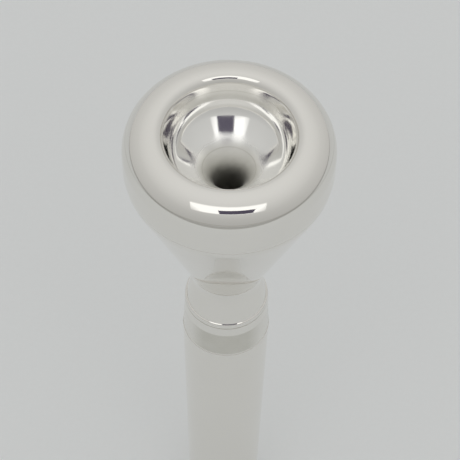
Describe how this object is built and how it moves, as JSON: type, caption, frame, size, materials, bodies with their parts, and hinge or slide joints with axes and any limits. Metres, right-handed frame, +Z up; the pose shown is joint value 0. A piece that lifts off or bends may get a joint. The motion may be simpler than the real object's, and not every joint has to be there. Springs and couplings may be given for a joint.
{
  "type": "trumpet mouthpiece",
  "caption": "Silver-plated brass mouthpiece for a trumpet: a rounded screw rim, a deep bowl that narrows to a throat, and a tapered screw-on shank.",
  "frame": {"origin": "centre of the shank's small end face, on the bore's axis", "axes": "+Z up along the bore, from the shank's small end to the rim; the part is round, so X and Y are arbitrary"},
  "size_m": [0.027, 0.027, 0.087],
  "materials": {
    "silver_rim": "polished silver plate on brass",
    "silver_cup": "polished silver plate on brass",
    "silver_shank": "polished silver plate on brass, with one satin-turned band",
    "seal_rubber": "smooth black nitrile rubber"
  },
  "bodies": {
    "shank": {"shank": "silver_shank"},
    "shank_seal": {"shank_seal": "seal_rubber"},
    "cup": {"cup": "silver_cup"},
    "rim_seal": {"rim_seal": "seal_rubber"},
    "rim": {"rim": "silver_rim"}
  },
  "joints": [
    {"name": "cup_lift", "type": "slide", "parent": "shank", "child": "shank_seal", "axis": [0, 0, 1], "range_m": [0, 0.0055]},
    {"name": "cup_turn", "type": "hinge", "parent": "shank_seal", "child": "cup", "pos_m": [0, 0, 0.051], "axis": [0, 0, 1], "range_deg": [0, 1980]},
    {"name": "rim_lift", "type": "slide", "parent": "cup", "child": "rim_seal", "axis": [0, 0, 1], "range_m": [0, 0.004]},
    {"name": "rim_turn", "type": "hinge", "parent": "rim_seal", "child": "rim", "pos_m": [0, 0, 0.085], "axis": [0, 0, 1], "range_deg": [0, 1440]}
  ],
  "couplings": [
    {"joint": "cup_turn", "follows": "cup_lift", "rad_per_m": 6283.2},
    {"joint": "rim_turn", "follows": "rim_lift", "rad_per_m": 6283.2}
  ]
}
